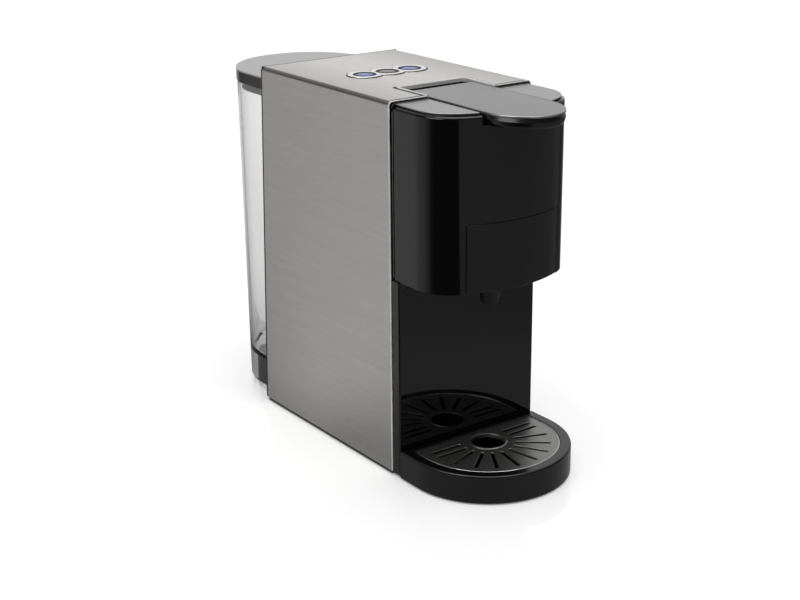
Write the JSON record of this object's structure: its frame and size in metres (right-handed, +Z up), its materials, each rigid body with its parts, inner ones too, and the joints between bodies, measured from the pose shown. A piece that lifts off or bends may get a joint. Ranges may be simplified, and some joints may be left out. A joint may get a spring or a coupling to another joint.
{
  "type": "multi-capsule coffee machine",
  "caption": "Slim steel-clad capsule coffee machine with a lever head, capsule drawer, round-nosed drip tray and a clear rear water tank.",
  "frame": {"origin": "on the worktop, on the plane of symmetry, halfway between the lever's tip and the rear of the water tank", "axes": "+Z up, the front (cup side) faces -Y, +X to the right of a person standing in front"},
  "size_m": [0.127, 0.3554, 0.2808],
  "materials": {
    "brushed_steel": "brushed stainless sheet",
    "bright_trim": "bright silver trim",
    "satin_plate": "satin silver plate",
    "gloss_black": "polished black",
    "matte_black": "fine-grained black",
    "inner_plastic": "moulded dark grey",
    "grille_metal": "satin dark grey",
    "clear_tank": "clear moulded plastic",
    "grey_plastic": "satin grey",
    "rubber": "matt black rubber",
    "hose": "milky silicone",
    "button_blue": "blue-violet, glossy",
    "button_brown": "dark brown, glossy",
    "hardware_steel": "plain stainless",
    "cast_aluminium": "as cast",
    "pump_metal": "grey painted steel",
    "circuit_board": "green board"
  },
  "bodies": {
    "body": {"steel_wrap": "brushed_steel", "notch_trim": "bright_trim", "base_frame": "matte_black", "rubber_feet": "rubber", "base_screws": "hardware_steel", "bulkhead": "matte_black", "column_panel": "gloss_black", "rear_panel": "matte_black", "cord_gland": "matte_black", "head_housing": "gloss_black", "head_top_plates": "satin_plate", "lever_well": "matte_black", "lever_pin": "hardware_steel", "press_shelf": "inner_plastic", "brew_guide": "inner_plastic", "press_spring": "hardware_steel", "drawer_rails": "inner_plastic", "button_bezel": "bright_trim", "button_board": "circuit_board", "board_shelf": "inner_plastic", "tank_socket": "grey_plastic", "socket_seal": "rubber", "pump": "pump_metal", "pump_mounts": "rubber", "pump_cradles": "inner_plastic", "heater_block": "cast_aluminium", "heater_legs": "inner_plastic", "thermostat": "hardware_steel", "flow_meter": "inner_plastic", "hose_tank": "hose", "hose_pump": "hose", "hose_heater": "hose", "hose_brew": "hose", "board_carrier": "inner_plastic", "control_board": "circuit_board"},
    "lever": {"lever_body": "gloss_black", "lever_plate": "satin_plate"},
    "press": {"press_head": "cast_aluminium", "press_seal": "rubber", "press_needles": "hardware_steel"},
    "drawer": {"drawer_front": "gloss_black", "drawer_carrier": "inner_plastic", "capsule_cup": "hardware_steel", "outlet_spout": "matte_black"},
    "left_button": {"button_left": "button_blue"},
    "middle_button": {"button_middle": "button_brown"},
    "right_button": {"button_right": "button_blue"},
    "tray": {"drip_tray": "gloss_black"},
    "grille": {"drip_grille": "grille_metal", "grille_ring": "bright_trim"},
    "tank": {"tank_shell": "clear_tank", "tank_valve_body": "grey_plastic", "tank_strainer": "grey_plastic"},
    "poppet": {"valve_poppet": "grey_plastic"},
    "lid": {"lid_body": "gloss_black", "lid_plate": "satin_plate", "lid_skirt": "grey_plastic"}
  },
  "joints": [
    {"name": "lever_hinge", "type": "hinge", "parent": "body", "child": "lever", "pos_m": [0, -0.0637, 0.266], "axis": [-1, 0, 0], "range_deg": [0, 80]},
    {"name": "press_slide", "type": "slide", "parent": "body", "child": "press", "axis": [0, 0, 1], "range_m": [0, 0.007], "stiffness_N_per_m": 100, "springref_m": 0.012, "deforming": ["press_spring"]},
    {"name": "drawer_slide", "type": "slide", "parent": "body", "child": "drawer", "axis": [0, -1, 0], "range_m": [0, 0.08]},
    {"name": "left_button_push", "type": "slide", "parent": "body", "child": "left_button", "axis": [0, 0, -1], "range_m": [0, 0.001], "stiffness_N_per_m": 600, "springref_m": -0.001},
    {"name": "middle_button_push", "type": "slide", "parent": "body", "child": "middle_button", "axis": [0, 0, -1], "range_m": [0, 0.001], "stiffness_N_per_m": 600, "springref_m": -0.001},
    {"name": "right_button_push", "type": "slide", "parent": "body", "child": "right_button", "axis": [0, 0, -1], "range_m": [0, 0.001], "stiffness_N_per_m": 600, "springref_m": -0.001},
    {"name": "tray_slide", "type": "slide", "parent": "body", "child": "tray", "axis": [0, -1, 0], "range_m": [0, 0.04]},
    {"name": "grille_lift", "type": "slide", "parent": "tray", "child": "grille", "axis": [0, 0, 1], "range_m": [0, 0.03]},
    {"name": "tank_lift", "type": "slide", "parent": "body", "child": "tank", "axis": [0, 0, 1], "range_m": [0, 0.06]},
    {"name": "poppet_lift", "type": "slide", "parent": "tank", "child": "poppet", "axis": [0, 0, 1], "range_m": [0, 0.002]},
    {"name": "lid_lift", "type": "slide", "parent": "tank", "child": "lid", "axis": [0, 0, 1], "range_m": [0, 0.03]}
  ],
  "couplings": [
    {"joint": "press_slide", "follows": "lever_hinge", "m_per_rad": 0.005}
  ]
}
